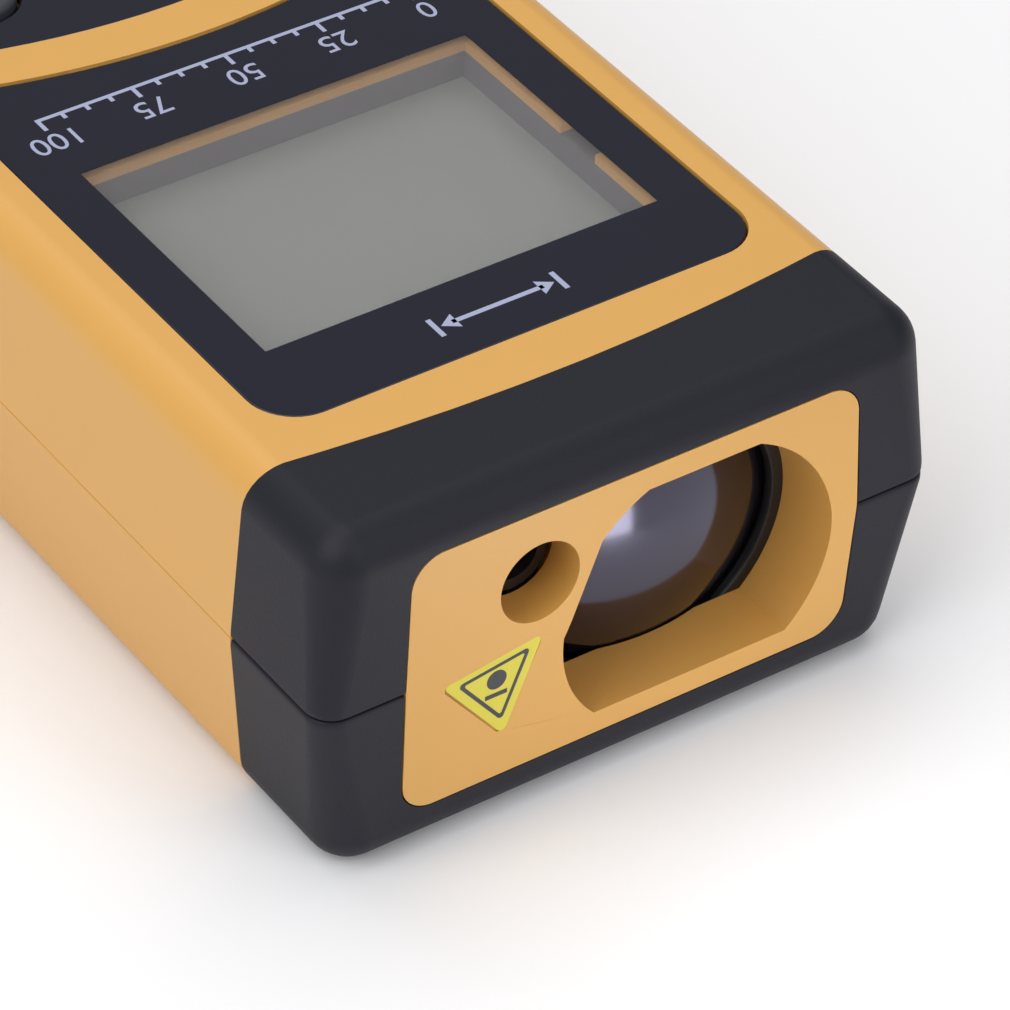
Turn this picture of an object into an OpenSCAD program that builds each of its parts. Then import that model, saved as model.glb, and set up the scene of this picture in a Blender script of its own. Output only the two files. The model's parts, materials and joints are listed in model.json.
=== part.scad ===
// Handheld laser distance meter: drafted two-part case with overmoulded bumpers,
// optics panel at the front end, display window and keypad on top, battery bay below.
// Frame: origin under the middle of the case, +Z up, the optics face -Y, +X to the right
// of someone looking into the optics.

/* [Case] */
// Width of the case at the parting line
body_w = 54; // [53:0.5:66]
// Height of the case
body_h = 30.8; // [30.6:0.2:37]
// Length of the case from optics face to tail
body_l = 118; // [118:1:142]
// Height of the parting line between the two shells
seam_z = 16.1; // [15:0.1:17.5]
// Thickness of the shell walls
wall = 1.8; // [1.5:0.1:1.9]
// Thickness of the black bumper skin over the shells
bumper_t = 1.0; // [0.8:0.1:1.1]
// Radius of the long top and bottom edges
edge_r = 3.5; // [2.5:0.25:4]
// Radius of the four upright corners at the parting line
corner_r = 2.2; // [1.5:0.1:3.5]
// How much each side leans in from the parting line up to the top
top_draft = 0.7; // [0.3:0.1:1]
// How much each side leans in from the parting line down to the bottom
base_draft = 1.5; // [0.5:0.1:1.8]
// How much each end leans in from the parting line
end_draft = 0.4; // [0.2:0.1:0.8]

/* [Bumpers] */
// Depth of the front and tail bumpers on the centre line
bumper_d = 9.7; // [9:0.1:11]
// Radius of the bumpers' curved inner edge, seen from above
bumper_arc_r = 180; // [120:10:300]
// Slant of the lower bumpers' inner edge, in degrees
bumper_slant = 5; // [0:0.5:6]

/* [Optics] */
// Margin from the side of the case to the orange optics panel
panel_margin = 7.3; // [7:0.1:8]
// Radius of the optics panel's corners
panel_r = 2.8; // [2:0.1:3.5]
// Radius of the receiver opening
recess_r = 12; // [10:0.1:12]
// Depth of the receiver opening in front of the lens ring
recess_d = 6; // [5:0.1:7]
// Radius of curvature of the receiver lens
lens_curve_r = 20; // [18:0.5:26]
// Radius of the laser's outlet
emitter_r = 3.4; // [3.1:0.1:3.5]
// Distance from the lens ring to the light detector
focal_l = 38; // [34:0.5:38]

/* [Display] */
// Width of the clear view in the display window
view_w = 34.5; // [30:0.5:35]
// Length of the clear view in the display window
view_l = 25.3; // [20:0.5:26]
// Thickness of the display window
window_t = 1.2; // [1:0.1:1.5]
// Thickness of the shell ledge under the window
ledge_t = 0.8; // [0.6:0.1:1]
// Depth of the display glass below the window
display_depth = 3.4; // [3:0.1:4]

/* [Keys] */
// Length of the keypad on the centre line
keypad_l = 42; // [40:1:46]
// Gap round each key
key_gap = 0.3; // [0.2:0.05:0.4]
// Travel of each key
key_travel = 0.8; // [0.5:0.1:1]
// Height of the keys above the keypad
key_proud = 1.1; // [0.9:0.1:1.5]
// Radius of the measure key
measure_key_r = 7; // [6:0.25:7.5]

/* [Battery bay] */
// Diameter of a battery cell
cell_d = 10.5; // [10:0.1:11]
// Length of a battery cell
cell_l = 44.5; // [42:0.5:45]
// Gap round the battery door
door_gap = 0.3; // [0.2:0.05:0.4]

/* [Fasteners] */
// Radius of the case screws' thread
screw_r = 1.2; // [1:0.1:1.3]
// Radius of the hole in the tripod insert (1/4-20 thread)
tripod_r = 2.6; // [2.5:0.05:3]
// Length of the tripod insert
tripod_l = 7; // [6:0.5:8]

/* [Hidden] */
$fn = 64;
edge_fn = 32;
arc_fn = 240;
min_r = 0.4;
seam_band = 0.5;
eps = 0.02;
big = 300;
past = 5;

shell_bevel = 0.1;
bumper_bevel = 0.22;
bumper_gap = 0.05;
half_w = body_w / 2;
half_l = body_l / 2;

// Window, keypad and what hangs below them, from the top down
sink = 0.15;
glue_t = 0.15;
window_z = body_h - sink - window_t;
ledge_z = window_z - glue_t;
cavity_z = ledge_z - ledge_t;
glass_z = window_z - display_depth;
glass_t = 1.7;
reflector_t = 0.4;
frame_z = glass_z - glass_t - reflector_t + 0.1;
board_t = 1.2;
board_z = frame_z - 0.6 - board_t;

// Optics panel and the openings in it
panel_half = half_w - panel_margin;
panel_z0 = 4.24;
panel_z1 = body_h - 3.24;
panel_taper = 0.4;
panel_plate_t = 2.2;
panel_gap = 0.1;
panel_bulge = 0.2;
panel_flange = 0.9;
panel_flange_t = 1.2;
tunnel_wall = 1;
lens_x = panel_half - recess_r - 2;
lens_z = 14.6;
recess_lean = 22.3;
recess_lean_x = recess_r - 3.82;
recess_lean_z = 9.8;
recess_z0 = panel_z0 + 2.06;
recess_z1 = panel_z1 - 2.01;
emitter_x = lens_x - recess_r - 2.23;
emitter_z = lens_z + 6.67;
emitter_d = 3.6;
emitter_wall = 0.8;
label_x = emitter_x - 3.6;
label_z = lens_z - 1.3;
label_side = 8.9;
label_corner_r = 0.45;
label_turn = 8.7;
label_t = 0.35;
label_gap = 0.03;

// Lens, its ring and the chassis that holds them
lens_gap = 0.15;
ring_t = 1;
ring_lip = 1.1;
ring_r = recess_r + 0.1;
lens_r = ring_r - 0.6;
lens_edge = lens_curve_r - sqrt(pow(lens_curve_r, 2) - pow(lens_r, 2));
lens_d = recess_d + ring_t + 0.05;
lens_apex_d = lens_d - (lens_curve_r - sqrt(pow(lens_curve_r, 2) - pow(recess_r - ring_lip, 2)));
lens_back_d = lens_d + 4;
barrel_r = ring_r + 0.65;
barrel_back_d = lens_back_d + 2;
chassis_back_d = recess_d + focal_l + 2;
detector_r = 2.3;
detector_z0 = 9.4;
ear_z = 8;
ear_t = 2;
ear_d = 30;
ear_x = 12;
ear_boss_r = 2.4;
ear_half = 3;
ear_floor = 3;
laser_r = 3;
laser_l = 11.5;
laser_bore_r = 2.1;
laser_back_d = emitter_d + laser_l;
sleeve_t = 0.7;
cone_r = 4.5;
cone_t = 1.5;
end_half = 9;
end_t = 2;
diode_r = laser_bore_r + 0.38;
diode_d = laser_back_d - 4;
pin_out = 0.5;
collimator_r = 3.5;
flex_half = 1.8;
flex_t = 0.2;

// Display
window_d = 14.6;
window_half = half_w - 5.6;
window_gap = 0.15;
window_corner_r = 4;
view_d = 22.6;
view_back_d = view_d + view_l;
keypad_d = view_back_d + 15.1;
band_arc_r = 60;
band_l = 4.65;
band_y = -half_l + keypad_d + band_arc_r;
frame_wall = 1.2;
glass_rim = 1.5;
gasket_in = 0.6;
notch_d = 30.6;
notch_l = 4.5;
notch_w = 1.6;

// Keypad; each key's place is its x and its distance behind the keypad's front edge
fascia_t = window_t + glue_t;
keypad_corner_r = 6;
key_x = measure_key_r + 6.6;
key_w = 9;
key_l = 6.4;
key_rows = [8.5, 19.5, 31];
oval_keys = [
    [-key_x, key_rows[0]], [key_x, key_rows[0]],
    [-key_x, key_rows[1]], [key_x, key_rows[1]],
    [-key_x, key_rows[2]], [0, key_rows[2]], [key_x, key_rows[2]]];
measure_at = [0, 14.5];
key_flange = 0.9;
key_flange_t = 1.1;
key_edge_r = 0.6;
flange_play = 0.3;
dome_play = 0.1;
dome_r = 2.4;
dome_t = 0.8;
stem_r = 1.6;

// Main board and what is on it
board_half = half_w - 5;
board_d0 = chassis_back_d - 0.4;
board_d1 = body_l - 9.2;
board_screw_x = board_half - 2.2;
board_screw_d0 = view_back_d + 5.6;
board_screw_d1 = body_l - 13;
board_boss_r = 2.3;
can = [2, 17, 5, 19, 2.8];
can_t = 0.3;
chips = [[-13, -4, 7, 16, 1.2], [-3, 1, 22, 27, 1.2], [5, 12, 23, 27, 1.6],
    [-8, -4, 33, 39, 1.2], [4, 15, 36, 41, 2.4]];
buzzer_at = [-14, 27];
buzzer_r = 4.5;
buzzer_h = 3;
buzzer_hole_r = 0.8;

// Battery bay in the lower shell
bay_half = cell_d + 1.1;
bay_d1 = body_l - bumper_d - 1.2;
bay_l = cell_l + 7;
bay_d0 = bay_d1 - bay_l;
bay_wall = 1.2;
door_clear = 0.95;
tongue_l = 1.3;
tongue_t = 0.5;
tongue_w = 4;
tongue_x = 6;
cell_z = wall + door_clear + cell_d / 2;
cell_x = cell_d / 2 + 0.35;
bay_z1 = cell_z + cell_d / 2 + 0.55;
door_d0 = bay_d0 + 2.4;
door_d1 = bay_d1 - 2.2;
door_half = bay_half - 1;
finger_r = 4;
notch_in = 2.5;
contact_l = (bay_l - cell_l) / 2;
door_sink = 0.05;
grip_half = 5;
grip_w = 0.7;
tip_l = 0.8;
tip_r = 1.9;
pad_t = 0.4;
pad_half = 4;
coil_turns = 4;
coil_r = 3.4;
dimple_r = 2.2;

// Case screws
case_screw_x = half_w - 6.6;
case_screw_d0 = 16.6;
case_screw_d1 = body_l - 5.9;
case_boss_r = 2.5;
boss_gap = 0.2;
head_r = 1.8;
head_t = 1.3;
slot_l = 2.2;
slot_w = 0.6;
slot_t = 0.7;
head_gap = 0.25;
shank_gap = 0.2;
case_head_z = 9;
thread_l = 12;
board_thread_l = board_t + 4.5;
ear_thread_l = 6;
pilot_r = screw_r + 0.05;
tripod_d = chassis_back_d + 1.4;
tripod_boss_r = 6.4;
tripod_out_r = 5;
tripod_cap = 1.2;

// ---- shared shapes ----

// Point d behind the optics face
function back(d) = -half_l + d;

module at_depth(d) {
    translate([0, back(d), 0]) children();
}

// A round bar along Y, from depth d0 to depth d1
module bar_y(x, z, r, d0, d1) {
    translate([x, back(d0), z]) rotate([-90, 0, 0]) cylinder(r = r, h = d1 - d0);
}

// A cone along Y
module cone_y(x, z, r0, r1, d0, d1) {
    translate([x, back(d0), z]) rotate([-90, 0, 0]) cylinder(r1 = r0, r2 = r1, h = d1 - d0, $fn = 96);
}

// A box given by its two corners, with depths behind the optics face
module span(x0, x1, d0, d1, z0, z1) {
    translate([x0, back(d0), z0]) cube([x1 - x0, d1 - d0, z1 - z0]);
}

// A flat outline in the XZ plane, thickened from depth d0 to depth d1
module facing(d0, d1) {
    translate([0, back(d1), 0]) rotate([90, 0, 0]) linear_extrude(height = d1 - d0) children();
}

// A rectangle with round corners
module round_rect(w, l, r) {
    square([w - 2 * r, l], center = true);
    square([w, l - 2 * r], center = true);
    for (sx = [-1, 1], sy = [-1, 1])
        translate([sx * (w / 2 - r), sy * (l / 2 - r)]) circle(r = r);
}

// Four upright corner discs of the case, h thick, from height z away from the seam
module corner_discs(side, inset, z, h) {
    r = max(corner_r - inset, min_r);
    for (sx = [-1, 1], sy = [-1, 1])
        translate([sx * (half_w - inset - r), sy * (half_l - inset - r), side > 0 ? z : z - h])
            cylinder(r = r, h = h, $fn = edge_fn);
}

// Half of the case as a solid block. side is 1 for the upper half and -1 for the lower;
// inset moves its walls inwards, end_inset its top or bottom, bevel breaks its seam edge.
module half_block(side, inset, end_inset, bevel) {
    draft = side > 0 ? top_draft : base_draft;
    z1 = side > 0 ? body_h - end_inset : end_inset;
    r = max(edge_r - inset, 1);
    r_z = r * cos(180 / edge_fn);
    hull() {
        corner_discs(side, inset, seam_z + side * bevel, seam_band);
        if (bevel > 0) corner_discs(side, inset + bevel, seam_z, bevel / 2);
        for (sx = [-1, 1], sy = [-1, 1])
            translate([sx * (half_w - draft - inset - r), sy * (half_l - end_draft - inset - r),
                z1 - side * r_z])
                sphere(r = r, $fn = edge_fn);
    }
}

// The part of the case that a bumper covers; end is 1 for the front and -1 for the tail
module bumper_zone(end, side) {
    slant = side > 0 ? 0 : bumper_slant;
    mirror([0, end > 0 ? 0 : 1, 0])
        translate([0, back(bumper_d), seam_z])
            rotate([slant, 0, 0])
                translate([0, 0, side > 0 ? -1 : -big / 2])
                    linear_extrude(height = big / 2 + 1)
                        difference() {
                            translate([-half_w - 5, -half_l]) square([body_w + 10, half_l + 5]);
                            translate([0, bumper_arc_r]) circle(r = bumper_arc_r, $fn = arc_fn);
                        }
}

// What the bumpers on one half of the case take out of its shell
module bumper_seat(side) {
    intersection() {
        difference() {
            half_block(side, -1, -1, 0);
            half_block(side, bumper_t, bumper_t, 0);
        }
        union() {
            bumper_zone(1, side);
            bumper_zone(-1, side);
        }
    }
}

// The optics panel's outline, grown by g
module panel_outline(g) {
    r = panel_r + g;
    hull() {
        for (sx = [-1, 1]) {
            translate([sx * (panel_half - panel_taper + panel_bulge - panel_r), panel_z1 - panel_r])
                circle(r = r);
            translate([sx * (panel_half - panel_r), panel_z0 + panel_r]) circle(r = r);
            translate([sx * (panel_half + panel_bulge - panel_r), seam_z]) circle(r = r);
        }
    }
}

module panel_hole() {
    facing(-past, recess_d + 2) panel_outline(panel_gap);
}

// The receiver opening: a circle cut by two flats and one leaning wall, grown by g
module recess_outline(g) {
    reach = 2 * recess_r + past;
    intersection() {
        translate([lens_x, lens_z]) circle(r = recess_r + g, $fn = 128);
        translate([lens_x - reach, recess_z0 - g]) square([2 * reach, recess_z1 - recess_z0 + 2 * g]);
        translate([lens_x - recess_lean_x, lens_z + recess_lean_z]) rotate(-recess_lean)
            translate([-g, -reach]) square([reach + g, 2 * reach]);
    }
}

// The display window's outline, grown by g
module window_outline(g) {
    r = window_corner_r;
    l = keypad_d - window_d;
    difference() {
        translate([0, back(window_d) + l / 2]) round_rect(2 * (window_half + g), l + 2 * g, r);
        translate([0, band_y]) circle(r = band_arc_r + band_l - g, $fn = arc_fn);
    }
}

module view_outline(g) {
    translate([0, back(view_d) + view_l / 2]) square([view_w + 2 * g, view_l + 2 * g], center = true);
}

// The keypad's outline, grown by g
module keypad_outline(g) {
    intersection() {
        translate([0, back(keypad_d) + keypad_l / 2])
            round_rect(2 * (window_half + g), keypad_l + 2 * g, keypad_corner_r);
        translate([0, band_y]) circle(r = band_arc_r + g, $fn = arc_fn);
    }
}

// One key's outline, grown by g; k is its row in oval_keys
module oval_outline(k, g) {
    translate([oval_keys[k][0], back(keypad_d + oval_keys[k][1])])
        round_rect(key_w + 2 * g, key_l + 2 * g, key_l / 2 + g - eps);
}

module measure_outline(g) {
    translate([measure_at[0], back(keypad_d + measure_at[1])]) circle(r = measure_key_r + g);
}

module key_holes() {
    for (k = [0 : len(oval_keys) - 1]) oval_outline(k, key_gap);
    measure_outline(key_gap);
}

module case_screw_places() {
    for (sx = [-1, 1], d = [case_screw_d0, case_screw_d1])
        translate([sx * case_screw_x, back(d), 0]) children();
}

module board_screw_places() {
    for (sx = [-1, 1], d = [board_screw_d0, board_screw_d1])
        translate([sx * board_screw_x, back(d), 0]) children();
}

module optics_screw_places() {
    for (sx = [-1, 1]) translate([lens_x + sx * ear_x, back(ear_d), 0]) children();
}

// A pan-head screw pointing up, its head's underside at z = 0
module screw_up(r, l) {
    translate([0, 0, -head_t]) difference() {
        cylinder(r = head_r, h = head_t);
        translate([0, 0, -1]) linear_extrude(height = 1 + slot_t) {
            square([slot_l, slot_w], center = true);
            square([slot_w, slot_l], center = true);
        }
    }
    cylinder(r = r, h = l);
}

// ---- case ----

module upper_shell() {
    color("orange") difference() {
        union() {
            difference() {
                half_block(1, 0, 0, shell_bevel);
                half_block(1, wall, body_h - cavity_z, 0);
                translate([-big / 2, -big / 2, seam_z - 1]) cube([big, big, 1 + eps]);
            }
            intersection() {
                union() {
                    case_screw_places() translate([0, 0, seam_z + eps])
                        cylinder(r = case_boss_r, h = cavity_z - seam_z);
                    board_screw_places() translate([0, 0, board_z + board_t])
                        cylinder(r = board_boss_r, h = cavity_z - board_z - board_t + eps);
                }
                half_block(1, wall / 2, wall / 2, 0);
            }
        }
        bumper_seat(1);
        panel_hole();
        translate([0, 0, ledge_z]) linear_extrude(height = past) {
            window_outline(window_gap);
            keypad_outline(window_gap);
        }
        translate([0, 0, cavity_z - 1]) linear_extrude(height = past) {
            view_outline(0);
            key_holes();
        }
        span(view_w / 2 - 1, view_w / 2 + notch_w, notch_d, notch_d + notch_l, cavity_z - 1, ledge_z + 1);
        case_screw_places() translate([0, 0, seam_z - 1]) cylinder(r = pilot_r, h = thread_l);
        board_screw_places() translate([0, 0, board_z]) cylinder(r = pilot_r, h = board_thread_l + 0.3);
    }
}

// Outline of the battery door's opening, shrunk by g, and its finger notch
module door_outline(g) {
    translate([-door_half + g, back(door_d0) + g])
        square([2 * (door_half - g), door_d1 - door_d0 - 2 * g]);
    translate([0, back(door_d1) - notch_in]) circle(r = finger_r - g);
}

module lower_shell() {
    color("orange") difference() {
        union() {
            difference() {
                half_block(-1, 0, 0, shell_bevel);
                half_block(-1, wall, wall, 0);
                translate([-big / 2, -big / 2, seam_z - eps]) cube([big, big, 1]);
            }
            intersection() {
                union() {
                    case_screw_places() cylinder(r = case_boss_r, h = seam_z - eps);
                    at_depth(tripod_d) cylinder(r = tripod_boss_r, h = tripod_l + tripod_cap);
                    optics_screw_places() cylinder(r = ear_boss_r, h = ear_z);
                    span(-bay_half - bay_wall, bay_half + bay_wall, bay_d0 - bay_wall,
                        bay_d1 + bay_wall, wall / 4, bay_z1 + bay_wall);
                }
                half_block(-1, wall / 2, wall / 2, 0);
            }
        }
        bumper_seat(-1);
        panel_hole();
        span(-bay_half, bay_half, bay_d0, bay_d1, wall - eps, bay_z1);
        translate([0, 0, -1]) linear_extrude(height = 1 + wall + tongue_t) door_outline(0);
        case_screw_places() {
            translate([0, 0, -1]) cylinder(r = head_r + head_gap, h = case_head_z + 1);
            cylinder(r = screw_r + shank_gap, h = seam_z + 1);
        }
        at_depth(tripod_d) translate([0, 0, -1]) cylinder(r = tripod_out_r + eps, h = tripod_l + 1);
        optics_screw_places() translate([0, 0, ear_floor]) cylinder(r = screw_r + eps, h = ear_z);
    }
}

// One half of a bumper: a skin over one end of the case
module bumper(end, side) {
    color([0.2, 0.2, 0.23]) difference() {
        intersection() {
            difference() {
                half_block(side, 0, 0, bumper_bevel);
                half_block(side, bumper_t, bumper_t, 0);
            }
            bumper_zone(end, side);
            translate([-big / 2, -big / 2, side > 0 ? seam_z + bumper_gap : seam_z - bumper_gap - big])
                cube([big, big, big]);
        }
        panel_hole();
        case_screw_places() translate([0, 0, -1]) cylinder(r = head_r + head_gap, h = past);
    }
}

module front_bumper_upper() { bumper(1, 1); }
module front_bumper_lower() { bumper(1, -1); }
module tail_bumper_upper() { bumper(-1, 1); }
module tail_bumper_lower() { bumper(-1, -1); }

// ---- optics ----

module optics_panel() {
    color("orange") difference() {
        union() {
            intersection() {
                union() {
                    half_block(1, 0, 0, 0);
                    half_block(-1, 0, 0, 0);
                }
                facing(-1, panel_plate_t) panel_outline(0);
            }
            intersection() {
                facing(wall, wall + panel_flange_t) panel_outline(panel_flange);
                union() {
                    half_block(1, wall + eps, body_h - cavity_z + 0.1, 0);
                    half_block(-1, wall + eps, wall + eps, 0);
                }
            }
            facing(panel_plate_t - 0.5, recess_d) recess_outline(tunnel_wall);
            bar_y(emitter_x, emitter_z, emitter_r + emitter_wall, panel_plate_t - 0.5, emitter_d);
        }
        facing(-past, recess_d + 1) recess_outline(0);
        bar_y(emitter_x, emitter_z, emitter_r, -past, emitter_d + 1);
        facing(-past, label_t) label_outline(label_gap);
        lens_dome(lens_gap);
        for (e = [-1, 1]) case_screw_clear(e);
    }
}

// Room beside the panel's flange for the case screw bosses
module case_screw_clear(e) {
    translate([e * case_screw_x, back(case_screw_d0), 0]) cylinder(r = case_boss_r + boss_gap, h = body_h);
}

module label_outline(g) {
    r = label_side / sqrt(3) - 2 * label_corner_r;
    translate([label_x, label_z]) rotate(label_turn) hull()
        for (a = [30, 150, 270]) rotate(a) translate([r, 0]) circle(r = label_corner_r + g);
}

module laser_label() {
    color("gold") facing(0, label_t) label_outline(0);
}

module lens_ring() {
    color([0.08, 0.08, 0.09]) difference() {
        bar_y(lens_x, lens_z, ring_r, recess_d, lens_d);
        bar_y(lens_x, lens_z, recess_r - ring_lip, recess_d - 1, lens_d + 1);
    }
}

// The receiver lens as a solid, its domed face grown by g
module lens_dome(g) {
    intersection() {
        bar_y(lens_x, lens_z, lens_r, 0, lens_back_d);
        translate([lens_x, back(lens_apex_d + lens_curve_r), lens_z]) rotate([90, 0, 0])
            sphere(r = lens_curve_r + g, $fn = 128);
    }
}

module receiver_lens() {
    color([0.7, 0.7, 0.85]) lens_dome(0);
}

module optics_chassis() {
    roof_z = frame_z - 0.2;
    color([0.15, 0.15, 0.16]) difference() {
        union() {
            bar_y(lens_x, lens_z, barrel_r, recess_d, barrel_back_d);
            intersection() {
                union() {
                    cone_y(lens_x, lens_z, barrel_r, cone_r, barrel_back_d - eps, chassis_back_d);
                    span(lens_x - end_half, lens_x + end_half, chassis_back_d - end_t, chassis_back_d,
                        detector_z0, board_z - 0.6);
                    span(lens_x - ear_x - ear_boss_r, lens_x + ear_x + ear_boss_r, ear_d - ear_half,
                        ear_d + ear_half, ear_z, ear_z + ear_t);
                }
                span(-half_w, half_w, 0, body_l, wall + 0.1, roof_z);
            }
            bar_y(emitter_x, emitter_z, laser_r + sleeve_t, recess_d + 0.4, laser_back_d - 1);
            span(emitter_x, lens_x - 5, recess_d + 5, laser_back_d - 1, lens_z + 4, lens_z + 7);
        }
        bar_y(lens_x, lens_z, ring_r + eps, recess_d - 1, lens_d);
        bar_y(lens_x, lens_z, lens_r + eps, lens_d - 0.1, lens_back_d);
        cone_y(lens_x, lens_z, lens_r - 0.8, cone_r - cone_t, lens_back_d - eps, chassis_back_d - end_t);
        bar_y(lens_x, lens_z, detector_r + 0.2, chassis_back_d - end_t - 1, chassis_back_d + 1);
        bar_y(emitter_x, emitter_z, laser_r + eps, 0, laser_back_d + 1);
        optics_screw_places() cylinder(r = screw_r + shank_gap, h = ear_z + ear_t + 1);
        span(-half_w, half_w, lens_back_d, chassis_back_d + 1, roof_z, body_h);
    }
}

module laser_barrel() {
    color("goldenrod") difference() {
        bar_y(emitter_x, emitter_z, laser_r, emitter_d, laser_back_d);
        bar_y(emitter_x, emitter_z, laser_bore_r, emitter_d - 1, diode_d + 0.5);
        bar_y(emitter_x, emitter_z, diode_r + eps, diode_d, laser_back_d + 1);
    }
}

module collimator_lens() {
    color([0.6, 0.2, 0.3]) intersection() {
        bar_y(emitter_x, emitter_z, laser_bore_r - eps, emitter_d + 0.6, emitter_d + 2.6);
        translate([emitter_x, back(emitter_d + 0.8 + collimator_r), emitter_z])
            sphere(r = collimator_r, $fn = 96);
    }
}

module laser_diode() {
    color("silver") {
        bar_y(emitter_x, emitter_z, diode_r, diode_d + 0.6, diode_d + 1.8);
        bar_y(emitter_x, emitter_z, 1.6, diode_d - 1.4, diode_d + 0.6);
        for (dz = [-0.9, 0.9])
            bar_y(emitter_x, emitter_z + dz, 0.25, diode_d + 1.7, laser_back_d + pin_out);
    }
}

// Flat flexible lead from the laser diode's pins up to the underside of the main board
module laser_flex() {
    tab_d = laser_back_d + pin_out;
    color("peru") {
        span(emitter_x - flex_half, emitter_x + flex_half, tab_d, tab_d + flex_t,
            emitter_z - flex_half, board_z);
        span(emitter_x - flex_half, emitter_x + flex_half, tab_d, board_d0 + 4, board_z - flex_t, board_z);
    }
}

module detector_board() {
    color("green") span(lens_x - end_half + 0.5, lens_x + end_half - 0.5, chassis_back_d,
        chassis_back_d + board_t, detector_z0, board_z - 1);
}

module detector() {
    color("silver") bar_y(lens_x, lens_z, detector_r, chassis_back_d - 2.2, chassis_back_d);
}

module detector_pins() {
    pin_half = 0.3;
    pitch = 2;
    color("gold") for (i = [-2 : 2])
        span(lens_x + pitch * i - pin_half, lens_x + pitch * i + pin_half, chassis_back_d + board_t,
            chassis_back_d + board_t + 2 * pin_half, board_z - 2.5, board_z);
}

// ---- display ----

module display_window() {
    color([0.2, 0.21, 0.28]) translate([0, 0, window_z]) linear_extrude(height = window_t) window_outline(0);
}

module window_gasket() {
    color([0.1, 0.1, 0.1]) translate([0, 0, ledge_z]) linear_extrude(height = glue_t) difference() {
        window_outline(-gasket_in);
        view_outline(2 * gasket_in);
    }
}

module display_frame() {
    color([0.45, 0.44, 0.47]) difference() {
        translate([0, 0, frame_z]) linear_extrude(height = cavity_z - frame_z - 0.03)
            view_outline(glass_rim + frame_wall);
        translate([0, 0, frame_z - 1]) linear_extrude(height = big) view_outline(0.05);
        translate([0, 0, frame_z - 1]) linear_extrude(height = glass_z - frame_z + 1)
            view_outline(glass_rim + 0.1);
    }
}

module display_glass() {
    color([0.57, 0.59, 0.57]) translate([0, 0, glass_z - glass_t]) linear_extrude(height = glass_t - 0.02)
        view_outline(glass_rim);
}

module display_reflector() {
    color([0.8, 0.8, 0.8]) translate([0, 0, glass_z - glass_t - reflector_t])
        linear_extrude(height = reflector_t) view_outline(0);
}

// Elastomer strip that joins the display glass to the main board
module contact_strip() {
    color([0.9, 0.6, 0.6]) span(-view_w / 2, view_w / 2, view_back_d + 0.2, view_back_d + glass_rim - 0.1,
        board_z + board_t, glass_z - glass_t);
}

// ---- keypad ----

module keypad_fascia() {
    color([0.15, 0.16, 0.2]) translate([0, 0, ledge_z]) linear_extrude(height = fascia_t) difference() {
        keypad_outline(0);
        key_holes();
    }
}

// The body of a key: flange under the shell, shank through it and a stepped, rounded cap.
// The first child is the outline, the second the outline of the flange, the others the cap.
module key_body(x, d) {
    top_z = body_h - sink + key_proud;
    flange_z = cavity_z - flange_play - key_flange_t;
    stem_z = board_z + board_t + dome_t + key_travel + dome_play;
    translate([0, 0, flange_z]) linear_extrude(height = key_flange_t) children(1);
    translate([0, 0, flange_z]) linear_extrude(height = top_z - flange_z - key_edge_r) children(0);
    for (i = [1 : 3])
        translate([0, 0, top_z - key_edge_r]) linear_extrude(height = key_edge_r * i / 3) children(5 - i);
    translate([x, back(keypad_d + d), stem_z]) cylinder(r = stem_r, h = flange_z + dome_play - stem_z);
}

// How far the cap's rounded edge has moved in at step i of 3
function cap_in(i) = key_edge_r * (1 - cos(90 * i / 3));

module oval_key(k, shade) {
    color(shade) key_body(oval_keys[k][0], oval_keys[k][1]) {
        oval_outline(k, 0);
        oval_outline(k, key_flange);
        oval_outline(k, -cap_in(2.6));
        oval_outline(k, -cap_in(1.8));
        oval_outline(k, -cap_in(1));
    }
}

module measure_key() {
    color("orangered") key_body(measure_at[0], measure_at[1]) {
        measure_outline(0);
        measure_outline(key_flange);
        measure_outline(-cap_in(2.6));
        measure_outline(-cap_in(1.8));
        measure_outline(-cap_in(1));
    }
}

module area_key() { oval_key(0, "gray"); }
module edge_key() { oval_key(1, "gray"); }
module plus_key() { oval_key(2, "gray"); }
module minus_key() { oval_key(3, "gray"); }
module units_key() { oval_key(4, "gray"); }
module clear_key() { oval_key(5, "gray"); }
module history_key() { oval_key(6, "gray"); }

module key_domes() {
    places = concat([measure_at], [for (k = oval_keys) [k[0], k[1]]]);
    color("silver") for (p = places)
        translate([p[0], back(keypad_d + p[1]), board_z + board_t]) cylinder(r = dome_r, h = dome_t);
}

// ---- boards ----

module main_board() {
    color("green") difference() {
        span(-board_half, board_half, board_d0, board_d1, board_z, board_z + board_t);
        board_screw_places() cylinder(r = screw_r + shank_gap, h = body_h);
    }
}

// The block under the board at [x0, x1, distance behind the board's front edge, end of it, height]
module under_board(c, shrink) {
    span(c[0] + shrink, c[1] - shrink, board_d0 + c[2] + shrink, board_d0 + c[3] - shrink,
        board_z - c[4] + shrink, board_z + (shrink > 0 ? 1 : 0));
}

module shield_can() {
    color("silver") difference() {
        under_board(can, 0);
        under_board(can, can_t);
    }
}

module board_chips() {
    color([0.1, 0.1, 0.1]) for (c = chips) under_board(c, 0);
}

module buzzer() {
    color([0.1, 0.1, 0.1]) translate([buzzer_at[0], back(board_d0 + buzzer_at[1]), board_z - buzzer_h])
        difference() {
            cylinder(r = buzzer_r, h = buzzer_h);
            translate([0, 0, -1]) cylinder(r = buzzer_hole_r, h = 2);
        }
}

// ---- battery bay ----

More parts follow.
